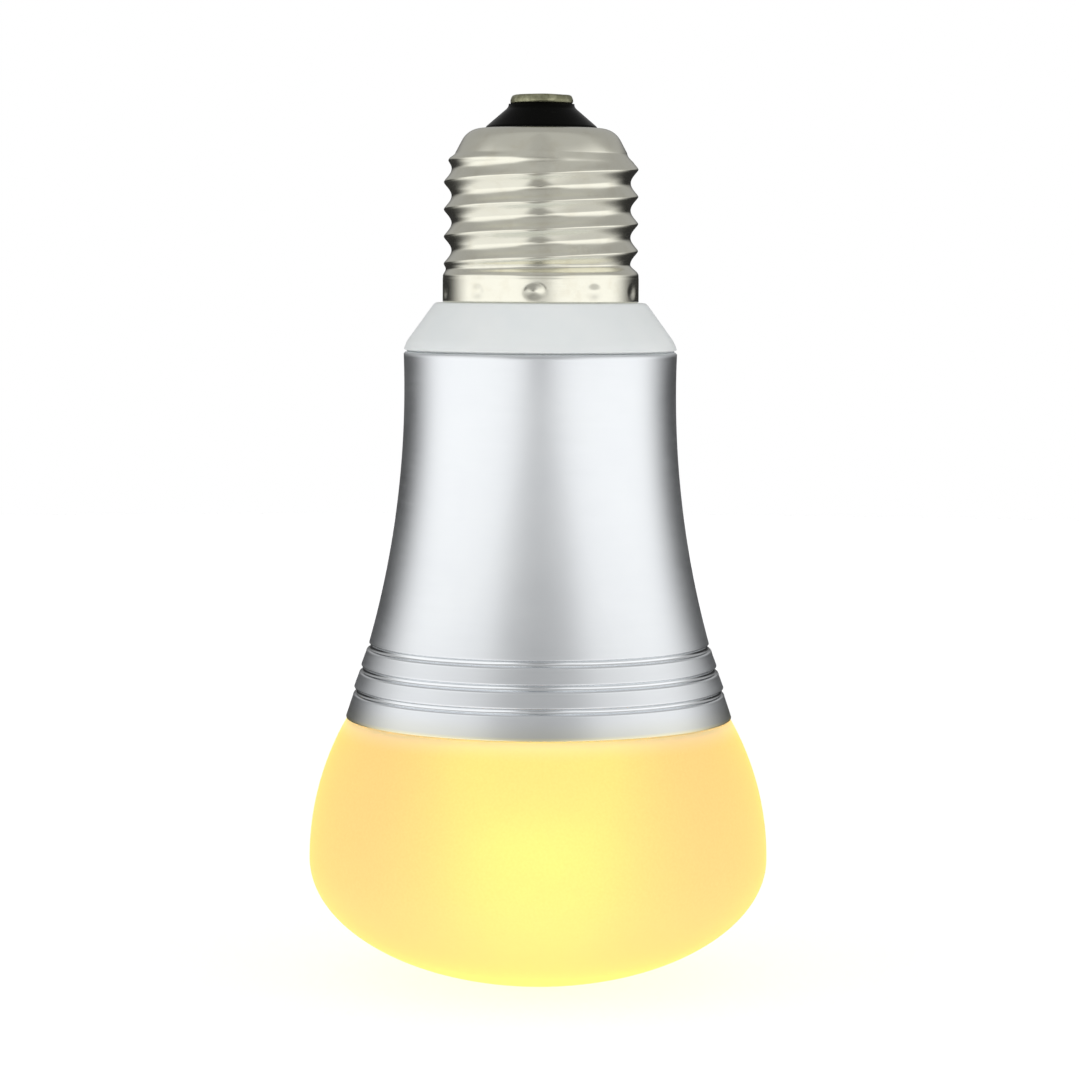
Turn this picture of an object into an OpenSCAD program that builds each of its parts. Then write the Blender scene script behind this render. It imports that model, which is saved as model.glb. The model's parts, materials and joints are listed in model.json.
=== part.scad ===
// Smart light bulb: an LED lamp on an E27 screw cap, with a flared aluminium housing and a domed
// diffuser. Millimetres, +Z up. The cap is on top, as the lamp hangs from its lampholder.
// The origin is on the lamp's axis, in the plane of the screw shell's lower rim.

/* [Screw cap] */
// Radius of the screw shell's skirt, and of its thread's crests
cap_r = 13.15; // [12.9:0.05:13.3]
// Pitch of the round thread
thread_pitch = 3.629; // [3.5:0.001:3.8]
// Depth of the thread from crest to root
thread_depth = 1.15; // [0.8:0.05:1.25]
// Thickness of the screw shell's sheet metal
shell_wall = 0.35; // [0.3:0.05:0.4]
// Height of the plain skirt below the thread
skirt_h = 3.4; // [3.2:0.1:3.6]
// Number of crimp dents round the skirt
dent_count = 10; // [4:1:12]
// Height of the centre contact's face above the shell's lower rim
contact_top = 27.7; // [27.5:0.1:28.5]

/* [Collar] */
// Radius of the collar's top edge
collar_top_r = 14.2; // [14:0.1:14.4]
// Radius of the collar's lower edge
collar_bottom_r = 18.3; // [18:0.1:18.4]
// Distance from the shell's rim down to the housing
collar_h = 6.6; // [6.4:0.1:7]

/* [Housing] */
// Radius of the housing where it is slimmest
waist_r = 18.27; // [18.1:0.01:18.4]
// Distance from the shell's rim down to the slimmest place
waist_depth = 11.7; // [11:0.1:12.5]
// Radius of the arc that flares the housing
flare_r = 126.5; // [122:0.5:132]
// Wall thickness of the housing
housing_wall = 1.7; // [1.2:0.1:1.9]
// Distance from the shell's rim down to the housing's lower rim
rim_depth = 55.9; // [55.8:0.1:56.2]

/* [Diffuser] */
// Largest radius of the diffuser
dome_r = 31; // [30.5:0.1:31.5]
// Distance from the shell's rim down to the widest place
equator_depth = 75; // [74.5:0.1:76]
// Height of the dome below its widest place
dome_h = 16.9; // [15:0.1:20]
// Wall thickness of the diffuser
dome_wall = 1.8; // [1.2:0.1:2]

/* [Light engine] */
// Number of warm white LEDs, and of cool white LEDs
white_leds = 12; // [6:3:12]

/* [Hidden] */
$fn = 96;
eps = 0.01;

// Colours
nickel = [0.74, 0.73, 0.66];
contact_grey = [0.55, 0.54, 0.46];
black = [0.05, 0.05, 0.05];
white_plastic = [0.88, 0.89, 0.89];
aluminium = [0.78, 0.79, 0.82];
sleeve_white = [0.8, 0.8, 0.78];
board_green = [0.05, 0.35, 0.16];
board_white = [0.92, 0.92, 0.9];
led_yellow = [0.96, 0.8, 0.25];
led_pale = [0.95, 0.9, 0.55];
diffuser_yellow = [1, 0.93, 0.55];

// Heights in the cap
contact_t = 1;
insulator_top = contact_top - contact_t;
opening_z = 23.2;
opening_r = 7.6;
shoulder_c = [8, opening_z - 2.95];
shoulder_r = 2.95;
shoulder_end = 19.95;
shoulder_low_r = 11.55;

// Thread: the height of one crest on the +X side, and where it fades at each end
crest_z = 14.18;
crest_sharpness = 1.4;
fade_low = [skirt_h, skirt_h + 1.8];
fade_high = [18.4, 19.9];
thread_sides = 36;
thread_rows = 39;

// Crimp dents
dent_z = 0.9;
dent_face_r = 0.65;
dent_depth = 0.3;
dent_ball_r = (dent_face_r * dent_face_r + dent_depth * dent_depth) / (2 * dent_depth);

// Collar and sleeve
neck_r = cap_r - shell_wall - 0.1;
neck_top = 2.7;
sleeve_r = 11.1;
sleeve_wall = 0.8;
sleeve_top = -0.5;
sleeve_bottom = -37;
lip_r = 12.6;
bore_gap = 0.2;
collar_z = -collar_h;
lip_h = 1;

// Screws: [head radius, head height, shank radius]
small_screw = [2.25, 1.5, 1.2];
collar_screw_r = 14.2;
collar_screw_angles = [90, 210, 330];
board_screw_r = 17.7;
board_screw_angles = [30, 150, 270];

// Housing
flange_t = 1.5;
flange_bore_r = 11.4;
flare_end = -45.9;
flare_c = [waist_r + flare_r, -waist_depth];
rim_z = -rim_depth;
rim_r = 26.05;
seat_z = -50.2;
seat_r = 22.3;
recess_z = -53.2;
recess_r = 23.8;
groove_depth = 0.6;
// Rings: [radius at the top, radius at the lip, height of the top, height of the lip]
rings = [
    [23.05, 24, -46.6, -49],
    [24, 24.95, -49.65, -52],
    [24.85, rim_r, -52.55, rim_z]
];

// Diffuser: radius of the arc from its rim to its widest place
dome_arc_r = 37.8;

// Light engine, from the heat plate down
plate_t = 2;
pad_t = 0.3;
led_board_t = 1.5;
plate_z = seat_z - plate_t - 0.05;
pad_z = plate_z - pad_t;
board_z = pad_z - led_board_t;
plate_r = 22.25;
pad_r = 20.5;
led_board_r = 20.8;
warm_ring_r = 17.6;
cool_ring_r = 12.8;
colour_ring_r = 8.2;
colour_angles = [40, 140, 220, 320];
white_led = [2.8, 3.5];
colour_led = [5, 5];
lead_hole_y = -8.5;
lead_hole_r = 2.2;

// Driver board: it stands upright in the sleeve, in the XZ plane
driver_t = 1.2;
driver_half_w = 9.5;
driver_bottom = -35.5;
driver_top = 4;
tongue_half_w = 5;
tongue_top = 11;
face = driver_t / 2;

// Leads: the points that each one passes through
lead_sides = 8;
lead_r = 0.55;
live_path = [
    [3, -1.15, 7.5], [3, -1.15, 10], [3, -1.15, 12], [2.7, -0.8, 14], [2.2, -0.4, 16],
    [1.9, 0, 18], [1.85, 0, 20], [1.85, 0, 21.8]
];
neutral_r = 0.45;
neutral_path = [
    [-4, -1.05, 6], [-4, -1.05, 8], [-4.6, -1.05, 9.4], [-6, -0.9, 9.8], [-7.6, -0.6, 8.6],
    [-9, -0.3, 6.6], [-10, -0.1, 4.6], [-10.9, 0, 3.5], [-11.8, 0, 3.3], [-12.2, 0, 2.5],
    [-12.2, 0, 1.6], [-12.2, 0, 0.8]
];
led_lead_path = [
    [0, -1.15, -32.5], [0, -1.15, -35], [0, -1.15, -38], [0, -1.6, -40], [0, -3, -42.2],
    [0, -5, -44], [0, -7, -45.8], [0, -8.3, -48], [0, lead_hole_y, -50], [0, lead_hole_y, -55]
];

// ---------- shared shapes ----------

function arc(c, r, a0, a1, n) = [
    for (i = [0:n]) let (a = a0 + (a1 - a0) * i / n) c + r * [cos(a), sin(a)]
];

function ramp(x, span) =
    let (t = min(1, max(0, (x - span[0]) / (span[1] - span[0])))) t * t * (3 - 2 * t);

function mix(a, b, t) = a + (b - a) * t;

function unit(v) = v / norm(v);

module revolve(points) {
    rotate_extrude() polygon(points);
}

module tube(r_out, r_in, z0, z1) {
    revolve([[r_in, z0], [r_out, z0], [r_out, z1], [r_in, z1]]);
}

module disc(r, z0, z1) {
    translate([0, 0, z0]) cylinder(r = r, h = z1 - z0);
}

// A box given by its two corners
module block(low, high) {
    translate(low) cube(high - low);
}

// Children copied round the axis at a radius, one at each angle
module around(r, angles) {
    for (a = angles) rotate([0, 0, a]) translate([r, 0, 0]) children();
}

// A pan-head screw pointing up, with its seat at z = 0 and a cross recess in its head
module pan_screw(size, length) {
    slot = [0.7, size[0] * 1.2, 0.8];
    difference() {
        union() {
            revolve(concat(
                [[0, 0], [size[0], 0]],
                [for (a = [0:15:75]) [
                    size[0] * (1 - 0.35 * (1 - cos(a))),
                    -size[1] * (0.35 + 0.65 * sin(a))
                ]],
                [[0, -size[1]]]
            ));
            translate([0, 0, -eps]) cylinder(r = size[2], h = length);
        }
        for (turn = [0, 90]) {
            rotate([0, 0, turn]) translate([-slot[0] / 2, -slot[1] / 2, -size[1] - eps]) cube(slot);
        }
    }
}

// A can lying along Z, with a rolled rim near its lower end
module can(r, h) {
    revolve([
        [0, 0], [r - 0.4, 0], [r, 0.4], [r, 1.6], [r - 0.35, 2], [r - 0.35, 2.3], [r, 2.7],
        [r, h - 0.4], [r - 0.4, h], [0, h]
    ]);
}

// A wire that leaves a component downwards and bends over towards the board, at -Y
module bent_lead(drop, bend_r, reach, r) {
    translate([0, 0, -drop]) cylinder(r = r, h = drop);
    translate([0, -bend_r, -drop]) rotate([0, 90, 0]) rotate_extrude(angle = 90)
        translate([bend_r, 0]) circle(r = r, $fn = 24);
    translate([0, -bend_r, -drop - bend_r]) rotate([90, 0, 0]) cylinder(r = r, h = reach - bend_r);
}

// A round wire swept along points. side is a direction that the wire never runs along.
module wire(path, r, side) {
    n = lead_sides;
    last = len(path) - 1;
    points = [
        for (i = [0:last])
            let (
                along = unit(path[min(i + 1, last)] - path[max(i - 1, 0)]),
                u = unit(cross(side, along)),
                v = cross(along, u)
            )
            for (k = [0:n - 1]) path[i] + r * (cos(360 * k / n) * u + sin(360 * k / n) * v)
    ];
    sides = [
        for (i = [0:last - 1], k = [0:n - 1])
            let (a = i * n + k, b = i * n + (k + 1) % n)
            each [[a, a + n, b + n], [a, b + n, b]]
    ];
    ends = [[for (k = [0:n - 1]) k], [for (k = [n - 1:-1:0]) last * n + k]];
    polyhedron(points, concat(sides, ends));
}

// ---------- screw cap ----------

// Nail-type contact: a flat head with a rounded edge, and a shank pressed into the insulator
module centre_contact() {
    color(contact_grey) revolve(concat(
        [[0, 13.2], [0.8, 13.2], [1.2, 13.8], [1.2, insulator_top], [4.2, insulator_top]],
        arc([3.65, contact_top - 0.55], 0.55, 0, 90, 6),
        [[0, contact_top]]
    ));
}

module cap_insulator() {
    inner_r = shoulder_r - shell_wall - 0.05;
    color(black) revolve(concat(
        [[1.25, insulator_top], [4.35, insulator_top], [4.45, 26.05], [7.45, 23.4], [7.45, opening_z - 0.4]],
        arc(shoulder_c, inner_r, 90, 15, 8),
        [[10.75, 20], [10.3, 19.2], [2.6, 19.2], [2.6, 22.4], [1.25, 22.8]]
    ));
}

// Outside radius of the threaded wall at a height and an angle
function thread_r(z, a) =
    let (
        phase = (z - crest_z) / thread_pitch - a / 360,
        wave = pow((1 + cos(360 * phase)) / 2, crest_sharpness),
        full = cap_r - thread_depth * (1 - wave),
        lower = mix(cap_r - 0.05, full, ramp(z, fade_low))
    )
    mix(lower, shoulder_low_r - 0.06, ramp(z, fade_high));

// The threaded wall. Its two end rings are buried in the skirt's wall and the shoulder's wall.
module thread_wall() {
    n = thread_sides;
    z0 = skirt_h - 0.5;
    z1 = shoulder_end + 0.35;
    rows = thread_rows;
    layer = n * (rows + 1);
    sheet = shell_wall - 0.15;
    function z_of(j) = z0 + (z1 - z0) * j / rows;
    points = [
        for (inset = [0, sheet], j = [0:rows], i = [0:n - 1])
            let (a = 360 * i / n, r = thread_r(z_of(j), a) - inset)
            [r * cos(a), r * sin(a), z_of(j)]
    ];
    walls = [
        for (j = [0:rows - 1], i = [0:n - 1])
            let (p = j * n + i, q = j * n + (i + 1) % n)
            each [
                [p, p + n, q + n], [p, q + n, q],
                [layer + p, layer + q + n, layer + p + n], [layer + p, layer + q, layer + q + n]
            ]
    ];
    rims = [
        for (i = [0:n - 1])
            let (p = i, q = (i + 1) % n, top = rows * n)
            each [
                [p, q, layer + q, layer + p],
                [top + q, top + p, layer + top + p, layer + top + q]
            ]
    ];
    polyhedron(points, concat(walls, rims));
}

// The balls that press the crimp dents, grown by the sheet's thickness for the dents' inner face
module dent_balls(grow) {
    around(cap_r - dent_depth + dent_ball_r, [for (i = [0:dent_count - 1]) (i + 0.4) * 360 / dent_count])
        translate([0, 0, dent_z]) sphere(r = dent_ball_r + grow, $fn = 32);
}

module screw_shell() {
    color(nickel) {
        thread_wall();
        revolve(concat(
            [[shoulder_low_r, shoulder_end], [shoulder_low_r, shoulder_end + 0.4]],
            arc(shoulder_c, shoulder_r, 15, 90, 10),
            [[opening_r, opening_z], [opening_r, opening_z - shell_wall]],
            arc(shoulder_c, shoulder_r - shell_wall, 90, 15, 10),
            [[shoulder_low_r - shell_wall, shoulder_end + 0.4], [shoulder_low_r - shell_wall, shoulder_end]]
        ));
        difference() {
            union() {
                tube(cap_r, cap_r - shell_wall, 0, skirt_h);
                intersection() {
                    dent_balls(shell_wall);
                    tube(cap_r - eps, cap_r - shell_wall - 1, 0.02, skirt_h);
                }
            }
            dent_balls(0);
        }
    }
}

// ---------- collar, sleeve and housing ----------

module collar() {
    boss_top = -3.2;
    pocket_r = 13.9;
    color(white_plastic) difference() {
        union() {
            revolve(concat(
                [[sleeve_r + bore_gap, neck_top], [neck_r - 0.4, neck_top], [neck_r, neck_top - 0.4], [neck_r, 0]],
                arc([collar_top_r - 0.4, -0.4], 0.4, 90, 10, 5),
                [
                    [collar_bottom_r - 0.37, collar_z + 1.4], [collar_bottom_r, collar_z + 0.4],
                    [collar_bottom_r, collar_z + 0.25], [collar_bottom_r - 0.35, collar_z + 0.25],
                    [collar_bottom_r - 0.35, collar_z], [16.4, collar_z], [16, -5.2], [14.6, -2.9],
                    [pocket_r, -2.9], [pocket_r, collar_z], [lip_r + bore_gap, collar_z],
                    [lip_r + bore_gap, collar_z + lip_h + 0.1], [sleeve_r + bore_gap, collar_z + lip_h + 0.1]
                ]
            ));
            around(collar_screw_r, collar_screw_angles) disc(2, collar_z + 0.1, boss_top);
        }
        around(collar_screw_r, collar_screw_angles) disc(small_screw[2] + 0.05, collar_z - 1, boss_top - 0.4);
        disc(lip_r + bore_gap, collar_z - 1, collar_z + lip_h + 0.1);
        dent_balls(shell_wall + 0.1);
        block([-neck_r - 1, -0.6, 0.3], [-neck_r + 1, 0.6, neck_top + 1]);
    }
}

// Three screws that hold the collar on the housing's top flange, put in from inside the housing
module collar_screws() {
    color(nickel) around(collar_screw_r, collar_screw_angles)
        translate([0, 0, collar_z - flange_t - 0.02]) pan_screw(small_screw, flange_t + 2.8);
}

// One ring of the housing's outline: a rounded shoulder, a steep side and a lip
function ring_outline(ring) =
    let (shoulder_h = (ring[2] - ring[3]) * 0.75)
    concat(
        [for (a = [0:15:90]) [
            mix(ring[0], ring[1], sin(a)),
            ring[2] - shoulder_h * (1 - cos(a))
        ]],
        [[ring[1], ring[3]]]
    );

// The flared side as points at equal steps of height, on an arc moved inwards by inset
function flare(z0, z1, inset, n) = [
    for (i = [0:n])
        let (z = mix(z0, z1, i / n), h = z - flare_c[1], r = flare_r + inset)
        [flare_c[0] - sqrt(r * r - h * h), z]
];

module housing() {
    top = collar_z;
    color(aluminium) difference() {
        revolve(concat(
            [[flange_bore_r, top - flange_t], [flange_bore_r, top], [waist_r - 0.05, top]],
            flare(top - 0.25, flare_end, 0, 24),
            [[rings[0][0] - groove_depth, flare_end], [rings[0][0] - groove_depth, rings[0][2]]],
            ring_outline(rings[0]),
            [[rings[1][0] - groove_depth, rings[0][3]], [rings[1][0] - groove_depth, rings[1][2]]],
            ring_outline(rings[1]),
            [[rings[2][0] - groove_depth, rings[1][3]], [rings[2][0] - groove_depth, rings[2][2]]],
            ring_outline(rings[2]),
            [[recess_r, rim_z], [recess_r, recess_z], [seat_r, recess_z], [seat_r, seat_z], [21.4, seat_z]],
            flare(-46, top - flange_t, housing_wall, 20)
        ));
        around(collar_screw_r, collar_screw_angles) disc(small_screw[2] + 0.2, top - flange_t - 1, top + 1);
    }
}

// Plastic liner that keeps the mains electronics off the metal housing
module insulation_sleeve() {
    inner_r = sleeve_r - sleeve_wall;
    floor_t = 1;
    rib_gap = driver_t + 0.2;
    color(sleeve_white) {
        difference() {
            revolve([
                [inner_r, sleeve_top], [sleeve_r, sleeve_top], [sleeve_r, collar_z + lip_h],
                [lip_r, collar_z + lip_h], [lip_r, collar_z + 0.02], [sleeve_r, collar_z + 0.02],
                [sleeve_r, sleeve_bottom], [0, sleeve_bottom], [0, sleeve_bottom + floor_t],
                [inner_r, sleeve_bottom + floor_t]
            ]);
            block([-4, -2.4, sleeve_bottom - 1], [4, 0, sleeve_bottom + 2]);
        }
        // Ribs that form a slot for each edge of the driver board
        intersection() {
            disc(inner_r + 0.1, sleeve_bottom + floor_t - eps, sleeve_top - 1);
            for (x = [-1, 1], y = [-1, 1]) {
                translate([x * 9.7, y * (rib_gap / 2 + 0.5), sleeve_bottom]) translate([-0.9, -0.5, 0])
                    cube([1.8, 1, 40]);
            }
        }
    }
}

// ---------- driver ----------

module driver_board() {
    color(board_green) {
        block([-driver_half_w, -face, driver_bottom], [driver_half_w, face, driver_top]);
        block([-tongue_half_w, -face, driver_top - eps], [tongue_half_w, face, tongue_top]);
    }
}

// A capacitor can lying on the board's front, with its two wires bent back to the board
module lying_capacitor(x, z, r, h) {
    y = face + r + 0.1;
    translate([x, y, z]) {
        can(r, h);
        for (side = [-1, 1]) translate([side * r * 0.35, 0, eps]) bent_lead(0.8, 0.6, r + 0.1, 0.3);
    }
}

module input_capacitor() {
    color([0.12, 0.13, 0.2]) lying_capacitor(-3.6, -26, 4, 13);
}

module output_capacitor() {
    color([0.1, 0.25, 0.2]) lying_capacitor(5.4, -26, 3.1, 11);
}

module film_capacitor() {
    color([0.85, 0.7, 0.2]) block([-4.4, face, -0.2], [4.4, face + 5.4, 8.2]);
}

// Transformer, standing off the board's front
transformer_z = -6.6;
core_half = [4.9, 4.6];
core_depth = 8;

module transformer_core() {
    w = core_half[0];
    h = core_half[1];
    y0 = face + 1.4;
    color([0.2, 0.2, 0.21]) translate([0, 0, transformer_z]) difference() {
        block([-w, y0, -h], [w, y0 + 5.2, h]);
        for (side = [-1, 1]) {
            block([side < 0 ? -3.4 : 1.5, y0 - 1, -h + 1.6], [side < 0 ? -1.5 : 3.4, y0 + 6, h - 1.6]);
        }
    }
}

module transformer_bobbin() {
    y0 = face;
    color(black) translate([0, 0, transformer_z]) {
        block([-4.6, y0, -4.2], [4.6, y0 + 1.3, 4.2]);
        for (side = [-1, 1]) {
            block([-3.3, y0 + 1.35, side * 2.35 - 0.35], [-1.6, y0 + 7.2, side * 2.35 + 0.35]);
            block([1.6, y0 + 1.35, side * 2.35 - 0.35], [3.3, y0 + 7.2, side * 2.35 + 0.35]);
            block([-3.3, y0 + 1.2, side * 2.35 - 0.35], [-1.6, y0 + 1.4, side * 2.35 + 0.35]);
            block([1.6, y0 + 1.2, side * 2.35 - 0.35], [3.3, y0 + 1.4, side * 2.35 + 0.35]);
        }
    }
}

module transformer_winding() {
    y0 = face + 1.4;
    color([0.93, 0.8, 0.2]) translate([0, 0, transformer_z]) for (side = [-1, 1]) {
        block([side < 0 ? -3.35 : 1.55, y0, -1.95], [side < 0 ? -1.55 : 3.35, y0 + 5.8, 1.95]);
    }
}

module filter_inductor() {
    color([0.25, 0.25, 0.27]) translate([-4.6, -face - 3.5, -12]) {
        disc(3.4, 0, 1.2);
        disc(2.9, 1.2 - eps, 7.8 + eps);
        disc(3.4, 7.8, 9);
    }
}

// A round ceramic part standing on the board's back
module coated_disc(x, z, r, t) {
    translate([x, -face, z]) rotate([90, 0, 0]) revolve([
        [0, 0], [r - 0.6, 0], [r, 0.6], [r, t - 0.6], [r - 0.6, t], [0, t]
    ]);
}

module varistor() {
    color([0.1, 0.35, 0.7]) coated_disc(4.4, -5, 3.4, 3.2);
}

module y_capacitor() {
    color([0.2, 0.45, 0.75]) coated_disc(5, -12.2, 3.1, 2.6);
}

module bridge_rectifier() {
    color(black) block([-2.4, -face - 2.5, -18.5], [2.4, -face, -14.6]);
}

// Mains controller chip and LED driver chips on the board's back
module driver_chips() {
    color(black) for (spot = [[-5.6, -18.5], [5, -22.5], [-5, -26.5]]) {
        block([spot[0] - 2, -face - 1.5, spot[1] - 2.5], [spot[0] + 2, -face, spot[1] + 2.5]);
        for (side = [-1, 1], k = [-1.5:1:1.5]) {
            translate([spot[0] + side * 2.4, -face - 0.1, spot[1] + k * 1.27])
                cube([0.9, 0.2, 0.4], center = true);
        }
    }
}

// Fusible resistor on the board's tongue, with its two wires bent down to the board
module fuse_resistor() {
    color([0.3, 0.55, 0.45]) translate([-1.2, -face - 2, -0.5]) {
        revolve([[0, 0], [1.2, 0], [1.6, 0.6], [1.6, 5.9], [1.2, 6.5], [0, 6.5]]);
        translate([0, 0, eps]) mirror([0, 1, 0]) bent_lead(0.6, 0.6, 2, 0.3);
        translate([0, 0, 6.5 - eps]) mirror([0, 0, 1]) mirror([0, 1, 0]) bent_lead(0.6, 0.6, 2, 0.3);
    }
}

// ---------- leads ----------

module live_lead() {
    color([0.75, 0.1, 0.1]) wire(live_path, lead_r, [0, 1, 0]);
}

module neutral_lead() {
    color([0.85, 0.85, 0.85]) wire(neutral_path, neutral_r, [0, 1, 0]);
}

module led_leads() {
    for (k = [0:3]) {
        color([0.75, 0.1, 0.1]) translate([(k - 1.5) * 1.15, 0, 0]) wire(led_lead_path, 0.5, [1, 0, 0]);
    }
}

// ---------- light engine ----------

// Openings shared by the heat plate, the pad and the LED board
module lead_slot(z0, z1) {
    block([-lead_hole_r - 0.6, lead_hole_y - 1, z0], [lead_hole_r + 0.6, lead_hole_y + 1, z1]);
}

module engine_layer(r, z0, z1, hole_r) {
    difference() {
        disc(r, z0, z1);
        lead_slot(z0 - 1, z1 + 1);
        around(board_screw_r, board_screw_angles) disc(hole_r, z0 - 1, z1 + 1);
    }
}

module heat_plate() {
    color(aluminium) engine_layer(plate_r, plate_z, plate_z + plate_t, small_screw[2] + 0.05);
}

module thermal_pad() {
    color([0.55, 0.6, 0.65]) engine_layer(pad_r, pad_z, plate_z, small_screw[2] + 0.4);
}

module led_board() {
    color(board_white) engine_layer(led_board_r, board_z, pad_z, small_screw[2] + 0.3);
}

module led_board_screws() {
    color(nickel) around(board_screw_r, board_screw_angles)
        translate([0, 0, board_z - 0.02]) pan_screw(small_screw, 3.4);
}

// One surface-mounted LED facing down, with a shallow round phosphor dish
module led(size, h, dish_r) {
    difference() {
        translate([-size[0] / 2, -size[1] / 2, -h]) cube([size[0], size[1], h]);
        translate([0, 0, -h - 1]) cylinder(r = dish_r, h = 1.15, $fn = 32);
    }
}

module led_ring(r, first, size, h, dish_r) {
    around(r, [for (i = [0:white_leds - 1]) first + i * 360 / white_leds])
        translate([0, 0, board_z]) led(size, h, dish_r);
}

module warm_white_leds() {
    color(led_yellow) led_ring(warm_ring_r, 15, white_led, 0.75, 1.1);
}

module cool_white_leds() {
    color(led_pale) led_ring(cool_ring_r, 0, white_led, 0.75, 1.1);
}

module colour_leds() {
    color([0.9, 0.9, 0.85]) around(colour_ring_r, colour_angles)
        translate([0, 0, board_z]) led(colour_led, 1.5, 1.9);
}

module led_connector() {
    color(white_plastic) difference() {
        block([-3.4, lead_hole_y - 1.8, board_z - 3.4], [3.4, lead_hole_y + 1.8, board_z]);
        block([-2.9, lead_hole_y - 1, board_z - 2.4], [2.9, lead_hole_y + 1, board_z + 1]);
    }
}

// ---------- wireless module ----------

module_half_w = 8;
module_t = 0.8;
module_top = board_z - 0.8;
module_bottom = -71.5;

module module_socket() {
    color(black) difference() {
        block([-8.9, -1.3, board_z - 3], [8.9, 1.3, board_z]);
        block([-module_half_w - 0.1, -0.5, board_z - 4], [module_half_w + 0.1, 0.5, board_z - 0.6]);
    }
}

module wireless_module() {
    color([0.08, 0.1, 0.3])
        block([-module_half_w, -module_t / 2, module_bottom], [module_half_w, module_t / 2, module_top]);
}

module module_shield() {
    wall = 0.25;
    y0 = module_t / 2;
    color(nickel) difference() {
        block([-6, y0, -68], [6, y0 + 2.2, -58]);
        block([-6 + wall, y0 - 1, -68 + wall], [6 - wall, y0 + 2.2 - wall, -58 - wall]);
    }
}

module module_chip() {
    color(black) block([-2.5, module_t / 2, -65.5], [2.5, module_t / 2 + 0.9, -60.5]);
}

// Printed antenna: a flat meander along the module's free end
module module_antenna() {
    y0 = module_t / 2;
    t = 0.1;
    w = 0.5;
    step = 1.6;
    color([0.72, 0.45, 0.2]) for (k = [0:7]) {
        x = -6 + k * step;
        block([x, y0, -71], [x + w, y0 + t, -68.9]);
        if (k < 7) {
            z = k % 2 == 0 ? -71 : -68.9 - w;
            block([x, y0, z], [x + step + w, y0 + t, z + w]);
        }
    }
}

// ---------- diffuser ----------

// Bead of silicone between the diffuser's spigot and the housing's recess
module diffuser_seal() {
    color([0.9, 0.9, 0.9]) tube(recess_r - 0.05, 22.4, recess_z - 0.4, recess_z - 0.02);
}

// The dome's side from the rim to the equator, on one arc that is upright at the equator
function dome_side(z0, inset, n) =
    let (r = dome_arc_r - inset, c = [dome_r - dome_arc_r, -equator_depth])
    [for (i = [0:n]) let (z = mix(z0, c[1], i / n), h = z - c[1]) [c[0] + sqrt(r * r - h * h), z]];

// The dome's end below the equator, a half ellipse
function dome_end(inset, n) = [
    for (i = [1:n]) let (a = 90 * i / n)
        [(dome_r - inset) * cos(a), -equator_depth - (dome_h - inset) * sin(a)]
];

module diffuser() {
    n = 16;
    shoulder_z = rim_z - 0.04;
    spigot = [recess_r - 0.2, recess_r - dome_wall];
    spigot_top = recess_z - 0.42;
    inner = concat(dome_side(shoulder_z - 1.2, dome_wall, n), dome_end(dome_wall, n));
    color(diffuser_yellow) revolve(concat(
        [[spigot[1], spigot_top], [spigot[0], spigot_top], [spigot[0], shoulder_z]],
        dome_side(shoulder_z, 0, n),
        dome_end(0, n),
        [for (i = [len(inner) - 1:-1:0]) inner[i]],
        [[spigot[1], shoulder_z - 0.2]]
    ));
}

centre_contact();
cap_insulator();
screw_shell();
collar();
collar_screws();
housing();
insulation_sleeve();
driver_board();
input_capacitor();
output_capacitor();
film_capacitor();
transformer_core();
transformer_bobbin();
transformer_winding();
filter_inductor();
varistor();
y_capacitor();
bridge_rectifier();
driver_chips();
fuse_resistor();
live_lead();
neutral_lead();
led_leads();
heat_plate();
thermal_pad();
led_board();
led_board_screws();
warm_white_leds();
cool_white_leds();
colour_leds();
led_connector();
module_socket();
wireless_module();
module_shield();
module_chip();
module_antenna();
diffuser_seal();
diffuser();
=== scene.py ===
"""A smart light bulb, cap upwards: the looks of every part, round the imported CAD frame.

Shapes and patterns are written in millimetres, in the frame's own axes, and scaled to metres
where they become meshes. Z is the lamp's axis, and z = 0 is the lower rim of its screw shell.
"""

import json
import math

import bpy
import numpy as np
from mathutils import Matrix, Vector


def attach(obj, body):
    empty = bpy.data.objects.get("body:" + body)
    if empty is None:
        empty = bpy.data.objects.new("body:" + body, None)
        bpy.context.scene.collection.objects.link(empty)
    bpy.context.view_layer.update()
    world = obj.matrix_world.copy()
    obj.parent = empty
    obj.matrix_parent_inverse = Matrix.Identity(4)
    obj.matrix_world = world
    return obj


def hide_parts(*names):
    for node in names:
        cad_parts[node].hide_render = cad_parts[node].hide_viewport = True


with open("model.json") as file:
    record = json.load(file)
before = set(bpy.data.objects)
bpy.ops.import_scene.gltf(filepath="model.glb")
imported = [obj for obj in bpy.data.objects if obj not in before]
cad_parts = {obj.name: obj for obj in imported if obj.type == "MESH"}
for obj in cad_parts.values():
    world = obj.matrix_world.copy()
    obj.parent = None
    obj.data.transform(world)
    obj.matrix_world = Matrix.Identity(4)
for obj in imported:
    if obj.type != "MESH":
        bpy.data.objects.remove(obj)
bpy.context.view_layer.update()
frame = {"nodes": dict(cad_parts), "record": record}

MM = 0.001
TURN = 2 * math.pi
# Most of a noise pattern's values lie between these
NOISE_RANGE = (0.3, 0.7)


# ---------- outlines and meshes ----------


def ramp(value, low, high):
    """0 below low, 1 above high, and a smooth step between them. Works on numbers and arrays."""
    t = np.clip((value - low) / (high - low), 0.0, 1.0)
    return t * t * (3 - 2 * t)


def mix(a, b, t):
    return a + (b - a) * t


def arc(centre, radius, start, end, steps):
    """Points (r, z) on an arc, from start to end in degrees."""
    angles = np.radians(np.linspace(start, end, steps + 1))
    return [
        (centre[0] + radius * math.cos(a), centre[1] + radius * math.sin(a))
        for a in angles
    ]


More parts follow.
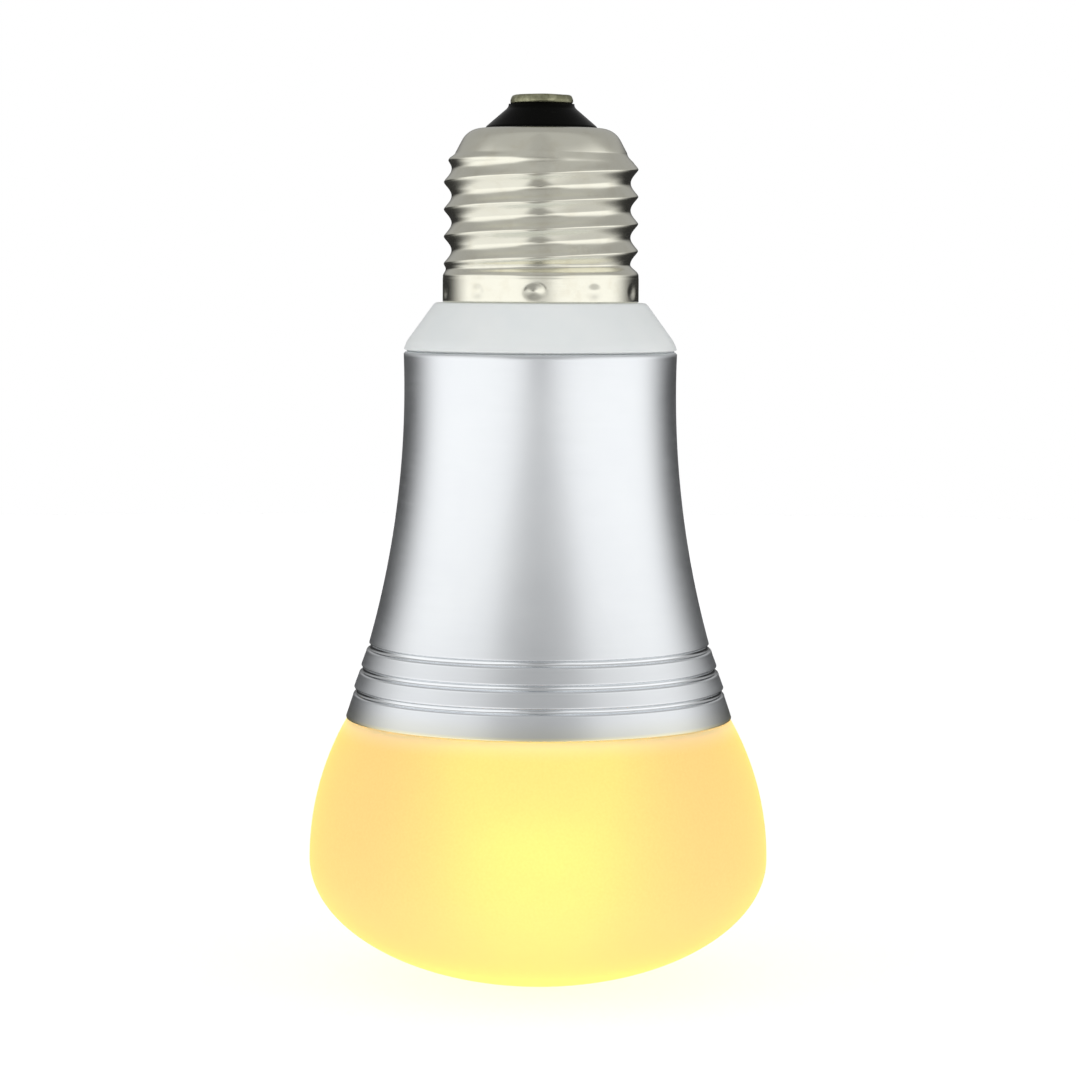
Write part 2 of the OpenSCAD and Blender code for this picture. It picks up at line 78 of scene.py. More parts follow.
def rounded(corners, steps=5):
    """A closed outline. A corner (r, z, size) is rounded off, starting size away from it."""
    points = []
    count = len(corners)
    for i, corner in enumerate(corners):
        here = np.array(corner[:2], float)
        if len(corner) == 2:
            points.append(tuple(here))
            continue
        ends = []
        for other in (corners[i - 1], corners[(i + 1) % count]):
            way = np.array(other[:2], float) - here
            reach = float(np.hypot(*way))
            ends.append(here + way / reach * min(corner[2], 0.45 * reach))
        for t in np.linspace(0, 1, steps + 1):
            points.append(tuple((1 - t) ** 2 * ends[0] + 2 * t * (1 - t) * here + t * t * ends[1]))
    return points


def add_object(name, vertices, faces, node, material):
    """A smooth mesh piece, given in mm, that stands for a CAD node and rides on the one body."""
    mesh = bpy.data.meshes.new(name)
    mesh.from_pydata([tuple(v) for v in np.asarray(vertices) * MM], [], faces)
    mesh.validate()
    mesh.update()
    mesh.shade_smooth()
    piece = bpy.data.objects.new(name, mesh)
    bpy.context.scene.collection.objects.link(piece)
    mesh.materials.append(material)
    weighted = piece.modifiers.new("weighted normals", "WEIGHTED_NORMAL")
    weighted.weight = 100
    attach(piece, "root")
    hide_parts(node)
    return piece


def turned(outline, segments, warp=None):
    """Vertices and faces of a closed (r, z) outline turned round Z.

    The outline runs anticlockwise as seen with r to the right and z upwards, so that faces look
    outwards. warp(r, z, angles) gives the moved r and z of one ring.
    """
    angles = np.arange(segments) * TURN / segments
    vertices = []
    rings = []
    for r, z in outline:
        start = len(vertices)
        if r < 1e-6:
            vertices.append((0.0, 0.0, z))
            rings.append([start] * segments)
            continue
        ring_r, ring_z = warp(r, z, angles) if warp else (r, z)
        ring_r = np.broadcast_to(ring_r, angles.shape)
        ring_z = np.broadcast_to(ring_z, angles.shape)
        vertices.extend(zip(ring_r * np.cos(angles), ring_r * np.sin(angles), ring_z))
        rings.append(list(range(start, start + segments)))
    faces = []
    for i, ring in enumerate(rings):
        after = rings[(i + 1) % len(rings)]
        for k in range(segments):
            n = (k + 1) % segments
            corners = [ring[k], ring[n], after[n], after[k]]
            unique = list(dict.fromkeys(corners))
            if len(unique) > 2:
                faces.append(unique)
    return vertices, faces


# ---------- shader nodes ----------


class Shader:
    """A new node material, or a given node tree. Patterns are in mm, in the frame's axes."""

    def __init__(self, name, tree=None):
        if tree is None:
            self.material = bpy.data.materials.new(name)
            self.material.use_nodes = True
            tree = self.material.node_tree
        self.tree = tree
        self.surface = next((n for n in tree.nodes if n.type == "BSDF_PRINCIPLED"), None)

    def node(self, kind, inputs=None, **settings):
        made = self.tree.nodes.new(kind)
        for key, value in settings.items():
            setattr(made, key, value)
        for key, value in (inputs or {}).items():
            self.put(made.inputs[key], value)
        return made

    def put(self, socket, value):
        if isinstance(value, bpy.types.NodeSocket):
            self.tree.links.new(value, socket)
        else:
            socket.default_value = value

    def set(self, **values):
        """Sets sockets of the Principled node, with _ for a space in their names."""
        for key, value in values.items():
            self.put(self.surface.inputs[key.replace("_", " ")], value)
        return self.material

    def math(self, operation, a, b=0.0):
        return self.node("ShaderNodeMath", {0: a, 1: b}, operation=operation).outputs[0]

    def away(self, value, level):
        """How far a value is from a level, on either side."""
        return self.math("ABSOLUTE", self.math("SUBTRACT", value, level))

    def place(self, stretch=(1.0, 1.0, 1.0)):
        """The point being shaded, in mm, with each axis scaled."""
        point = self.node("ShaderNodeTexCoord").outputs["Object"]
        scale = tuple(s / MM for s in stretch)
        return self.node(
            "ShaderNodeVectorMath", {0: point, 1: scale}, operation="MULTIPLY"
        ).outputs[0]

    def height(self):
        """The shaded point's height in mm."""
        return self.node("ShaderNodeSeparateXYZ", {"Vector": self.place()}).outputs["Z"]

    def noise(self, size, detail=3.0, roughness=0.5, stretch=(1.0, 1.0, 1.0)):
        """Noise from 0 to 1, with features about size mm across. stretch makes them longer."""
        return self.node(
            "ShaderNodeTexNoise",
            {
                "Vector": self.place(tuple(1 / s for s in stretch)),
                "Scale": 1 / size,
                "Detail": detail,
                "Roughness": roughness,
            },
        ).outputs["Fac"]

    def cells(self, size, feature="F1"):
        """Distances in a pattern of cells about size mm across."""
        return self.node(
            "ShaderNodeTexVoronoi",
            {"Vector": self.place(), "Scale": 1 / size},
            feature=feature,
        ).outputs["Distance"]

    def span(self, factor, low, high, to_low=0.0, to_high=1.0, kind="LINEAR"):
        """Maps low..high of a factor to to_low..to_high, and holds the ends."""
        return self.node(
            "ShaderNodeMapRange",
            {
                "Value": factor,
                "From Min": low,
                "From Max": high,
                "To Min": to_low,
                "To Max": to_high,
            },
            interpolation_type=kind,
        ).outputs["Result"]

    def smooth(self, factor, low, high, to_low=0.0, to_high=1.0):
        """The same as span, with soft ends."""
        return self.span(factor, low, high, to_low, to_high, "SMOOTHSTEP")

    def spread(self, noise, to_low=0.0, to_high=1.0):
        """A noise's usual range, spread over to_low..to_high."""
        return self.span(noise, *NOISE_RANGE, to_low, to_high)

    def blend(self, factor, first, second):
        """A colour between two, which are triples or sockets."""
        made = self.node("ShaderNodeMix", data_type="RGBA")
        self.put(made.inputs[0], factor)
        for socket, value in ((made.inputs[6], first), (made.inputs[7], second)):
            self.put(socket, value if isinstance(value, bpy.types.NodeSocket) else (*value, 1.0))
        return made.outputs[2]

    def bump(self, height, depth, strength=1.0, after=None):
        """Relief depth mm deep. after is the normal of a coarser relief under it."""
        inputs = {"Height": height, "Distance": depth * MM, "Strength": strength}
        if after is not None:
            inputs["Normal"] = after
        return self.node("ShaderNodeBump", inputs).outputs["Normal"]


# ---------- outer shapes ----------

# The screw shell: its crests' radius, its sheet, and where its skirt ends and its shoulder starts
CAP_R = 13.15
SHEET = 0.35
SKIRT_TOP = 3.2
SHOULDER_LOW = 19.95
SHOULDER_C = (8.0, 20.25)
SHOULDER_R = 2.95
OPENING_R = 7.6
OPENING_Z = 23.2
# Its thread. Both ends fade: into the skirt, and into a cone that leads to the shoulder
PITCH = 3.629
THREAD_DEPTH = 1.15
CREST_Z = 14.18
CREST_TIP = 0.045
CREST_SOFTNESS = 0.35
THREAD_FADES_IN = (3.5, 5.1)
THREAD_FADES_OUT = (18.7, SHOULDER_LOW)
CONE_R = 11.49
# The punch marks that crimp it on the collar's neck
DENTS = 10
DENT_PHASE = 0.4
DENT_Z = 1.5
DENT_HALF_WIDTH = 1.75
DENT_HALF_HEIGHT = 1.35
DENT_DEPTH = 0.28
NECK_R = 12.7
# The collar's lower edge, and the housing's rim, grooves and recess
COLLAR_Z = -6.6
RIM_Z = -55.9
GROOVES = (-46.22, -49.28, -52.2)
GROOVE_HALF = 0.36
RECESS_R = 23.8
# The diffuser: its widest height and radius, its side's arc, its end's depth and its wall
EQUATOR_Z = -75.0
DOME_R = 31.0
SIDE_ARC = 37.8
END_DEPTH = 16.9
DOME_WALL = 1.8
# The table, just under the diffuser's lowest point
TABLE_Z = -91.95


def thread_radius(z, angles):
    """Outside radius of the rolled thread: pointed crests, with a rounded root between them."""
    turns = (z - CREST_Z) / PITCH - angles / TURN
    off_crest = np.abs(turns - np.round(turns))
    root = 0.5
    away = np.hypot(off_crest, CREST_TIP) - CREST_TIP
    away = away / (math.hypot(root, CREST_TIP) - CREST_TIP)
    cusp = 1 - np.sin(away * math.pi / 2)
    wave = mix(cusp, 1 - ramp(away, -0.6, 1.0), CREST_SOFTNESS)
    full = CAP_R - THREAD_DEPTH * (1 - wave)
    lower = mix(CAP_R - 0.02, full, ramp(z, *THREAD_FADES_IN))
    return mix(lower, CONE_R, ramp(z, *THREAD_FADES_OUT))


def dent_depth(z, angles):
    """Depth of the punch marks that crimp the shell on the collar's neck."""
    turns = angles / TURN * DENTS - DENT_PHASE
    along = (turns - np.round(turns)) * TURN / DENTS * CAP_R
    distance = np.hypot(along / DENT_HALF_WIDTH, (z - DENT_Z) / DENT_HALF_HEIGHT)
    return DENT_DEPTH * (1 - ramp(distance, 0.0, 1.0))


def shell_radius(r, z, angles):
    """Radius of the shell's outside at a height: plain skirt, thread, then the shoulder's r."""
    if z > SHOULDER_LOW:
        return r
    if z > SKIRT_TOP:
        return thread_radius(z, angles)
    return r - dent_depth(z, angles)


def shell_outline():
    """The shell's outside from its rim up to the opening, then the inside back down."""
    hem = 0.12
    skirt = [(CAP_R, z) for z in np.linspace(hem, SKIRT_TOP, 24)]
    thread = [(CAP_R, z) for z in np.linspace(SKIRT_TOP + 0.1, SHOULDER_LOW, 140)]
    shoulder = arc(SHOULDER_C, SHOULDER_R, 27, 90, 14)
    lip = [(OPENING_R + 0.1, OPENING_Z), (OPENING_R, OPENING_Z - 0.1)]
    outside = skirt + thread + shoulder + lip
    inside_shoulder = arc(SHOULDER_C, SHOULDER_R - SHEET, 90, 15, 10)
    inside = [(CAP_R - SHEET, z) for z in np.linspace(SHOULDER_LOW, hem, 110)]
    return outside, [(OPENING_R, OPENING_Z - SHEET)] + inside_shoulder + inside


def make_screw_shell(material):
    """The thin shell. Its inside follows the skirt and the thread, one sheet further in."""
    outside, inside = shell_outline()
    outside_count = len(outside)
    outline = outside + inside + [(CAP_R - SHEET + 0.1, 0.0), (CAP_R - 0.1, 0.0)]
    where = iter(range(len(outline)))

    def warp(r, z, angles):
        i = next(where)
        if i < outside_count:
            return shell_radius(r, z, angles), z
        if z <= SHOULDER_LOW and r == CAP_R - SHEET:
            return shell_radius(CAP_R, z, angles) - SHEET, z
        return r, z

    vertices, faces = turned(outline, 288, warp)
    return add_object("screw_shell_sheet", vertices, faces, "screw_shell", material)


def make_contact(material):
    """Nail head with a rolled edge, dished a little and slightly out of true."""
    outline = rounded(
        [
            (0, 13.2), (0.8, 13.2), (1.2, 13.8, 0.2), (1.2, 26.5), (4.15, 26.5, 0.2),
            (4.22, 26.95, 0.2), (3.95, 27.68, 0.4), (3.1, 27.7, 0.2), (2.4, 27.62, 0.3),
            (0, 27.6),
        ]
    )

    head_from_z = 26.7
    edge_from_r = 2

    def warp(r, z, angles):
        if z < head_from_z:
            return r, z
        uneven = 0.03 * np.sin(3 * angles + 0.6) + 0.02 * np.sin(5 * angles + 2.0)
        uneven = uneven * (r > edge_from_r)
        return r + uneven, z - 0.03 + 0.5 * uneven

    vertices, faces = turned(outline, 96, warp)
    return add_object("contact_nail", vertices, faces, "centre_contact", material)


def make_insulator(material):
    """The black cone round the contact's shank, with a flange that fits under the shell."""
    under_gap = 0.05
    foot = [
        (1.25, 26.5), (1.25, 22.8), (2.6, 22.4), (2.6, 19.2, 0.2), (10.3, 19.2, 0.2),
        (10.75, 20.0, 0.2),
    ]
    cone = [(7.45, 22.8), (7.45, 23.42, 0.2), (4.5, 25.95, 0.35), (4.35, 26.5, 0.12)]
    under_shell = arc(SHOULDER_C, SHOULDER_R - SHEET - under_gap, 15, 90, 10)
    outline = rounded(foot) + under_shell + rounded(cone)
    vertices, faces = turned(outline, 160)
    return add_object("insulator_glass", vertices, faces, "cap_insulator", material)


def make_collar(material):
    """The white cone. Inside it are the neck that the shell is crimped on, and a pocket."""
    outline = rounded(
        [
            (11.3, 2.7), (11.3, -5.5), (12.8, -5.5), (12.8, -6.6), (13.9, -6.6), (13.9, -2.9, 0.3),
            (14.6, -2.9, 0.3), (16.0, -5.2, 0.3), (16.4, -6.6), (17.95, -6.6), (17.95, -6.35),
            (18.28, -6.35, 0.1), (18.3, -6.15, 0.12), (17.93, -5.2, 0.5), (14.25, -0.12, 0.55),
            (13.8, -0.02, 0.3), (NECK_R, 0.0), (NECK_R, 2.3, 0.2), (12.3, 2.7, 0.2),
        ]
    )

    def warp(r, z, angles):
        seat = dent_depth(z, angles) if r == NECK_R else 0
        return r - seat, z

    vertices, faces = turned(outline, 240, warp)
    return add_object("collar_cone", vertices, faces, "collar", material)


def flare(z_from, z_to, inset, steps):
    """The housing's waisted side, on one large arc moved inwards by inset."""
    slimmest_r, slimmest_z, radius = 18.27, -11.7, 126.5
    return [
        (slimmest_r + radius - math.sqrt((radius + inset) ** 2 - (z - slimmest_z) ** 2), z)
        for z in np.linspace(z_from, z_to, steps)
    ]


def ring(wall_r, lip_r, top_z, lip_z):
    """One turned ring under a groove: flat ledge, rounded edge, leaning face and a small lip."""
    edge_r = 0.4
    lean = 0.28
    face_r = lip_r - lean * (top_z - lip_z)
    edge = arc((face_r - edge_r, top_z - edge_r), edge_r, 90, 0, 7)
    return [(wall_r, top_z)] + edge + [
        (lip_r - 0.03, lip_z + 0.22), (lip_r, lip_z + 0.12), (lip_r - 0.03, lip_z + 0.04),
        (lip_r - 0.1, lip_z),
    ]


def make_housing(material):
    """The flared shell with its top flange and three rings, and a stepped recess in its rim."""
    top = COLLAR_Z
    flange = 1.5
    wall = 1.7
    outside = (
        [(11.4, top - flange), (11.4, top), (18.0, top), (18.14, top - 0.04), (18.22, top - 0.14)]
        + flare(top - 0.3, -45.72, 0, 90)
        + [(22.95, -45.8), (22.91, -45.85), (22.72, -45.86)]
        + ring(22.72, 24.0, -46.6, -48.92)
        + [(23.65, -48.93)]
        + ring(23.65, 24.95, -49.65, -51.86)
        + [(24.6, -51.87)]
        + ring(24.6, 26.05, -52.55, RIM_Z)
    )
    inside = [
        (RECESS_R + 0.12, RIM_Z), (RECESS_R, RIM_Z + 0.12), (RECESS_R, -53.2), (22.3, -53.2),
        (22.3, -50.2), (21.4, -50.2),
    ] + flare(-46, top - flange, wall, 24)
    outline = list(reversed(outside + inside))
    vertices, faces = turned(outline, 320)
    return add_object("housing_shell", vertices, faces, "housing", material)


def dome_outline(inset, top_z, steps):
    """The diffuser from its rim to the pole: one arc to the equator, then a half ellipse."""
    radius = SIDE_ARC - inset
    centre_r = DOME_R - SIDE_ARC
    side = [
        (centre_r + math.sqrt(radius**2 - (z - EQUATOR_Z) ** 2), z)
        for z in np.linspace(top_z, EQUATOR_Z, steps)
    ]
    end = [
        ((DOME_R - inset) * math.cos(a), EQUATOR_Z - (END_DEPTH - inset) * math.sin(a))
        for a in np.radians(np.linspace(0, 90, steps + 1))[1:]
    ]
    end[-1] = (0.0, end[-1][1])
    return side + end


def make_diffuser(material):
    """The milky shell, with a spigot that fits up into the housing's rim."""
    spigot_in, spigot_out, spigot_top = 22.0, 23.6, -53.62
    shoulder = RIM_Z - 0.04
    outside = [
        (spigot_in, spigot_top), (spigot_out, spigot_top), (spigot_out, shoulder),
        (25.75, shoulder), (25.93, shoulder - 0.03),
    ]
    outside += dome_outline(0, shoulder - 0.3, 48)
    inside = list(reversed(dome_outline(DOME_WALL, shoulder - 1.2, 32)))
    outline = list(reversed(outside + inside + [(spigot_in, shoulder - 0.2)]))
    vertices, faces = turned(outline, 256)
    return add_object("diffuser_dome", vertices, faces, "diffuser", material)


# ---------- outer materials ----------


def nickel():
    """Bright nickel plate on rolled sheet, with rolling marks, smudges and patchy tarnish."""
    s = Shader("nickel")
    smudge = s.noise(6.0, detail=4)
    marks = s.noise(0.09, detail=2, stretch=(40, 40, 1))
    grain = s.noise(0.25, detail=4)
    tarnish = s.smooth(s.noise(2.2, detail=5, roughness=0.6), 0.45, 0.75)
    colour = s.blend(tarnish, (0.86, 0.845, 0.73), (0.82, 0.795, 0.67))
    rough = s.math("ADD", s.spread(smudge, 0.13, 0.20), s.spread(marks, 0.0, 0.05))
    relief = s.bump(marks, 0.004, 0.35)
    relief = s.bump(grain, 0.006, 0.25, after=relief)
    return s.set(Base_Color=colour, Metallic=1.0, Roughness=rough, Normal=relief)


def contact_metal():
    """Worn plated contact: dull, with scratches and patches of brighter wear."""
    s = Shader("contact_metal")
    wear = s.smooth(s.noise(1.4, detail=5, roughness=0.65), 0.42, 0.62)
    scratch = s.noise(0.12, detail=2, stretch=(1, 14, 1))
    colour = s.blend(wear, (0.27, 0.27, 0.17), (0.42, 0.42, 0.28))
    rough = s.math("ADD", s.span(wear, 0, 1, 0.42, 0.28), s.spread(scratch, 0.0, 0.12))
    relief = s.bump(scratch, 0.01, 0.4)
    relief = s.bump(s.noise(0.6, detail=4), 0.05, 0.4, after=relief)
    return s.set(Base_Color=colour, Metallic=1.0, Roughness=rough, Normal=relief)


def black_glass():
    """Black vitreous insulator: glossy, slightly uneven, with a little dust."""
    s = Shader("black_glass")
    dust = s.smooth(s.noise(0.5, detail=6, roughness=0.7), 0.55, 0.8)
    colour = s.blend(dust, (0.003, 0.003, 0.0025), (0.010, 0.010, 0.008))
    rough = s.span(dust, 0, 1, 0.16, 0.34)
    relief = s.bump(s.noise(1.8, detail=2), 0.06, 0.35)
    return s.set(Base_Color=colour, Roughness=rough, Normal=relief, Specular_IOR_Level=0.03)


def collar_white():
    """Smooth moulded white plastic with a faint texture and a little grime."""
    s = Shader("collar_white")
    cloud = s.noise(7.0, detail=3)
    texture = s.noise(0.16, detail=3)
    colour = s.blend(s.spread(cloud), (0.80, 0.835, 0.835), (0.84, 0.865, 0.86))
    rough = s.math("ADD", s.spread(texture, 0.36, 0.44), s.spread(cloud, 0.0, 0.05))
    return s.set(
        Base_Color=colour,
        Roughness=rough,
        Normal=s.bump(texture, 0.006, 0.4),
        Subsurface_Weight=0.12,
        Subsurface_Radius=(0.001, 0.001, 0.0009),
        Subsurface_Scale=1.0,
    )


def satin_aluminium():
    """Turned, satin aluminium: fine lines round the axis, a soft grain and glossier grooves.

    Its colour is darker and yellower on the lowest ring, and has a painted warm glow from the
    diffuser at the rim.
    """
    s = Shader("satin_aluminium")
    cloud = s.noise(9.0, detail=3)
    lines = s.noise(0.11, detail=3, roughness=0.6, stretch=(60, 60, 1))
    grain = s.noise(0.07, detail=2)
    height = s.height()
    colour = s.blend(s.spread(cloud), (0.85, 0.875, 0.90), (0.89, 0.915, 0.935))
    lowest_ring = s.smooth(height, -53.0, RIM_Z)
    # Painted glow: the diffuser's warm light, painted as a pale yellow colour at the rim's edge
    painted_rim_glow = s.smooth(height, RIM_Z + 0.6, RIM_Z + 0.1)
    colour = s.blend(lowest_ring, colour, (0.80, 0.81, 0.75))
    colour = s.blend(painted_rim_glow, colour, (0.95, 0.91, 0.66))
    rough = s.math("ADD", s.spread(lines, 0.28, 0.34), s.spread(cloud, 0.0, 0.03))
    rough = s.math("ADD", rough, s.spread(grain, 0.0, 0.03))
    off_groove = s.away(height, GROOVES[0])
    for groove_z in GROOVES[1:]:
        off_groove = s.math("MINIMUM", off_groove, s.away(height, groove_z))
    gloss = s.smooth(off_groove, GROOVE_HALF + 0.14, GROOVE_HALF, 0.0, 0.2)
    rough = s.math("SUBTRACT", rough, gloss)
    strength = s.smooth(off_groove, GROOVE_HALF + 0.04, GROOVE_HALF + 0.24, 0.15, 0.5)
    relief = s.bump(lines, 0.0016, strength)
    relief = s.bump(grain, 0.0012, strength, after=relief)
    return s.set(Base_Color=colour, Metallic=1.0, Roughness=rough, Normal=relief)


def milky_diffuser():
    """Milky plastic lit from inside: warm, deeper at the lower end, with painted shade under the
    rim.

    Its orange base colour is the lamp's glow painted onto white plastic.
    """
    s = Shader("milky_diffuser")
    height = s.height()
    cloud = s.noise(12.0, detail=3)
    speckle = s.noise(0.35, detail=3)
    # Painted shade under the rim: the glow and the base colour turn darker and greyer there
    painted_shade_under_rim = s.smooth(height, RIM_Z - 2.6, RIM_Z)
    painted_shade_at_rim = s.smooth(height, RIM_Z - 1.0, RIM_Z - 0.2)
    low_end = s.smooth(height, -74, -88)
    glow = s.blend(low_end, (1.0, 0.67, 0.27), (1.0, 0.58, 0.25))
    glow = s.blend(painted_shade_under_rim, glow, (0.62, 0.56, 0.38))
    glow = s.blend(painted_shade_at_rim, glow, (0.54, 0.50, 0.33))
    glow = s.blend(s.spread(cloud, 0.0, 0.06), glow, (1.0, 0.75, 0.3))
    # Painted glow: the white plastic's base colour is tinted orange by the lamp's light, with a
    # random speckle
    painted_glow_base = s.blend(s.spread(speckle), (0.72, 0.47, 0.21), (0.76, 0.50, 0.23))
    painted_glow_base = s.blend(low_end, painted_glow_base, (0.74, 0.45, 0.20))
    painted_glow_base = s.blend(painted_shade_under_rim, painted_glow_base, (0.70, 0.58, 0.36))
    painted_glow_base = s.blend(painted_shade_at_rim, painted_glow_base, (0.60, 0.52, 0.34))
    return s.set(
        Base_Color=painted_glow_base,
        Roughness=s.spread(speckle, 0.58, 0.64),
        IOR=1.25,
        Specular_IOR_Level=0.1,
        Transmission_Weight=0.2,
        Emission_Color=glow,
        Emission_Strength=0.35,
        Normal=s.bump(speckle, 0.004, 0.3),
    )


# ---------- inner materials ----------


def moulded(name, colour, roughness, shade=0.8, texture=0.12, depth=0.006, **more):
    """A moulded, dipped or sleeved surface: cloudy colour, uneven gloss and a fine texture."""
    s = Shader(name)
    cloud = s.spread(s.noise(2.5, detail=4))
    fine = s.noise(texture, detail=4, roughness=0.6)
    dark = tuple(c * shade for c in colour)
    return s.set(
        Base_Color=s.blend(cloud, dark, colour),
        Roughness=s.spread(fine, roughness - 0.06, roughness + 0.06),
        Normal=s.bump(fine, depth, 0.6),
        **more,
    )


def rolled_metal(name, colour, roughness, stretch=(30, 1, 1)):
    """Sheet or turned metal with drawn lines and a few dull patches."""
    s = Shader(name)
    lines = s.noise(0.08, detail=3, stretch=stretch)
    patch = s.smooth(s.noise(2.0, detail=5), 0.45, 0.7)
    dull = tuple(c * 0.82 for c in colour)
    rough = s.math(
        "ADD",
        s.spread(lines, roughness - 0.05, roughness + 0.07),
        s.span(patch, 0, 1, 0.0, 0.12),
    )
    return s.set(
        Base_Color=s.blend(patch, colour, dull),
        Metallic=1.0,
        Roughness=rough,
        Normal=s.bump(lines, 0.004, 0.5),
    )


def circuit_board(name, mask, over_copper, pitch):
    """Solder mask over copper: raised tracks between cells, with the glass weave under it."""
    s = Shader(name)
    copper = s.smooth(s.cells(pitch, "DISTANCE_TO_EDGE"), 0.05, 0.09)
    weave = s.node(
        "ShaderNodeTexWave",
        {"Vector": s.place(), "Scale": 0.9, "Distortion": 1.5, "Detail": 2.0},
        bands_direction="DIAGONAL",
    ).outputs["Fac"]
    relief = s.bump(weave, 0.004, 0.3)
    relief = s.bump(copper, 0.03, 0.6, after=relief)
    return s.set(
        Base_Color=s.blend(copper, mask, over_copper),
        Roughness=s.span(weave, 0, 1, 0.28, 0.38),
        Normal=relief,
        Coat_Weight=0.3,
    )


def wound_tape():
    """Yellow polyester tape: overlapping turns with darker edges."""
    s = Shader("wound_tape")
    turns = s.node(
        "ShaderNodeTexWave",
        {"Vector": s.place(), "Scale": 0.35, "Distortion": 0.6, "Detail": 2.0},
        bands_direction="Z",
        wave_profile="SAW",
    ).outputs["Fac"]
    edge = s.smooth(turns, 0.86, 1.0)
    return s.set(
        Base_Color=s.blend(edge, (0.86, 0.66, 0.08), (0.5, 0.34, 0.03)),
        Roughness=s.span(turns, 0, 1, 0.22, 0.4),
        Normal=s.bump(turns, 0.05, 0.6),
    )


def ferrite():
    """Sintered ferrite: dull grey-black with pits and worn lighter patches."""
    s = Shader("ferrite")
    grain = s.cells(0.18)
    patch = s.smooth(s.noise(1.2, detail=6, roughness=0.7), 0.5, 0.75)
    return s.set(
        Base_Color=s.blend(patch, (0.035, 0.035, 0.04), (0.09, 0.09, 0.095)),
        Roughness=s.span(grain, 0, 0.6, 0.5, 0.75),
        Normal=s.bump(grain, 0.02, 0.6),
    )


def phosphor(name, colour, strength):
    """An LED's filled window: grainy phosphor that glows a little."""
    s = Shader(name)
    grain = s.noise(0.09, detail=4, roughness=0.7)
    tone = s.spread(grain)
    pale = tuple(mix(c, 1.0, 0.25) for c in colour)
    return s.set(
        Base_Color=s.blend(tone, colour, pale),
        Roughness=s.spread(grain, 0.3, 0.5),
        Normal=s.bump(grain, 0.01, 0.6),
        Emission_Color=s.blend(tone, colour, pale),
        Emission_Strength=strength,
    )


def finishes():
    """The finish of each material slot in the record."""
    return {
        "contact_metal": contact_metal(),
        "cap_black": black_glass(),
        "nickel_plate": nickel(),
        "collar_white": collar_white(),
        "satin_aluminium": satin_aluminium(),
        "diffuser_milky": milky_diffuser(),
        "screw_steel": rolled_metal("zinc_screw", (0.62, 0.63, 0.64), 0.3),
        "plate_aluminium": rolled_metal("plain_sheet", (0.74, 0.75, 0.76), 0.34),
        "shield_tin": rolled_metal("tinned_can", (0.66, 0.67, 0.68), 0.26),
        "antenna_copper": rolled_metal("gilt_track", (0.86, 0.56, 0.26), 0.3),
        "sleeve_plastic": moulded("liner", (0.76, 0.76, 0.72), 0.5, shade=0.92),
        "board_green": circuit_board("green_board", (0.012, 0.11, 0.04), (0.03, 0.22, 0.08), 2.4),
        "board_blue": circuit_board("blue_board", (0.01, 0.016, 0.09), (0.02, 0.04, 0.2), 1.4),
        "board_white": circuit_board("white_board", (0.74, 0.74, 0.70), (0.86, 0.86, 0.83), 5.0),
        "capacitor_sleeve": moulded("shrink_sleeve", (0.02, 0.025, 0.07), 0.25, shade=0.6),
        "film_yellow": moulded("potted_box", (0.72, 0.47, 0.04), 0.36, shade=0.85),
        "ferrite": ferrite(),
        "moulded_black": moulded("black_epoxy", (0.022, 0.022, 0.024), 0.48, shade=0.6),
        "tape_yellow": wound_tape(),
        "shrink_black": moulded("shrink_tube", (0.02, 0.02, 0.022), 0.3, shade=0.6),
        "ceramic_blue": moulded("dipped_blue", (0.03, 0.14, 0.5), 0.3, texture=0.3, depth=0.02),
        "resistor_green": moulded("lacquer", (0.1, 0.32, 0.2), 0.25, texture=0.3, depth=0.015),
        "wire_red": moulded("red_silicone", (0.55, 0.02, 0.015), 0.42, shade=0.7),
        "wire_white": moulded("white_silicone", (0.78, 0.78, 0.75), 0.42, shade=0.9),
        "thermal_pad": moulded("gap_pad", (0.25, 0.3, 0.36), 0.7, texture=0.2, depth=0.02),
        "led_warm": phosphor("warm_phosphor", (0.95, 0.6, 0.1), 2.0),
        "led_cool": phosphor("cool_phosphor", (0.93, 0.85, 0.3), 1.0),
        "led_colour": moulded("clear_lens", (0.82, 0.82, 0.78), 0.2, Transmission_Weight=0.3),
        "connector_white": moulded("nylon", (0.80, 0.79, 0.74), 0.45, shade=0.93),
        "silicone": moulded("seal", (0.78, 0.78, 0.76), 0.55, shade=0.92),
    }


def dress_cad_nodes(finish):
    """Gives every CAD node its slot's finish."""
    for part in frame["record"]["subparts"]:
        node = frame["nodes"][part["node"]]
        for slot in node.material_slots:
            slot.link = "OBJECT"
            slot.material = finish[part["material_slot"]]


# ---------- studio ----------


def mixed(s, share, first, second):
    """A level between two, of which share is the second's part."""
    return s.node("ShaderNodeMix", {0: share, 2: first, 3: second}, data_type="FLOAT").outputs[0]


